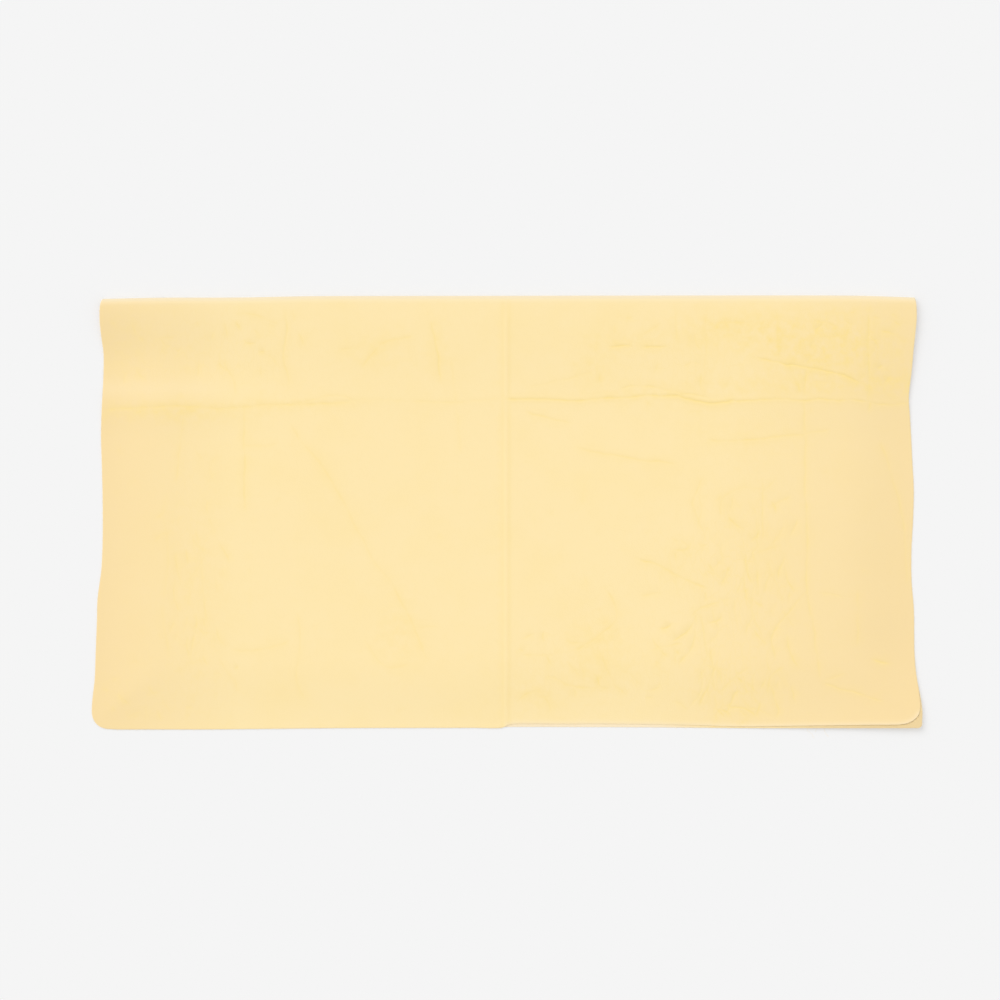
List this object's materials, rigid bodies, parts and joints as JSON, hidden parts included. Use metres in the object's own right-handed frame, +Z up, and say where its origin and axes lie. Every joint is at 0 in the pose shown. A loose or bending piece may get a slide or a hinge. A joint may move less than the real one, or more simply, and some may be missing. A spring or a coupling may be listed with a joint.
{
  "type": "chamois leather",
  "caption": "Soft rectangular sheet of butter-yellow chamois leather with rounded corners, lying folded once with a soft rolled fold; it opens on the fold and folds along its pack crease.",
  "frame": {"origin": "middle of the folded outline, on the surface the leather lies on", "axes": "+X along the fold, +Y towards the fold, +Z up"},
  "size_m": [0.54, 0.282, 0.0057],
  "materials": {
    "leather": "matte"
  },
  "bodies": {
    "under_leaf": {"under_leaf": "leather"},
    "under_strip": {"under_strip": "leather"},
    "upper_strip": {"upper_strip": "leather"},
    "upper_leaf": {"upper_leaf": "leather"}
  },
  "joints": [
    {"name": "strip_fold", "type": "hinge", "parent": "under_leaf", "child": "under_strip", "pos_m": [0, 0.073, 0.0031], "axis": [1, 0, 0], "range_deg": [0, 175]},
    {"name": "leaf_open", "type": "hinge", "parent": "under_strip", "child": "upper_strip", "pos_m": [0, 0.141, 0.0025], "axis": [-1, 0, 0], "range_deg": [0, 179]},
    {"name": "upper_crease", "type": "hinge", "parent": "upper_strip", "child": "upper_leaf", "pos_m": [0, 0.073, 0.0031], "axis": [1, 0, 0], "range_deg": [-175, 0]}
  ],
  "couplings": [
    {"joint": "strip_fold", "follows": "upper_crease", "ratio": -1}
  ]
}
